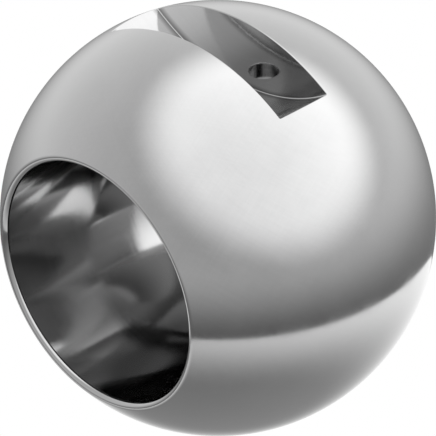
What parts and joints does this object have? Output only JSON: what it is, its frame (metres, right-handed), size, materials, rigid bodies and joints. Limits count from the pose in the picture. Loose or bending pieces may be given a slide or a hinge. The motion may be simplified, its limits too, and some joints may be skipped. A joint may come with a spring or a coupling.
{
  "type": "v-port valve ball",
  "caption": "Mirror-lapped valve ball with a round flow bore, a V-shaped port on its far side and a dished drive slot across the top.",
  "frame": {"origin": "centre of the ball, where the flow axis and the stem axis cross", "axes": "X is the flow axis, with the round inlet mouth at -X and the V port at +X; +Z is the stem axis, with the drive slot on top; the slot runs along Y, and the point of the V is at +Y"},
  "size_m": [0.0755, 0.085, 0.0845],
  "materials": {
    "lapped_stainless": "stainless steel, mirror lapped on the sphere, polished in the bore and the slot"
  },
  "bodies": {
    "root": {"valve_ball": "lapped_stainless"}
  },
  "joints": []
}
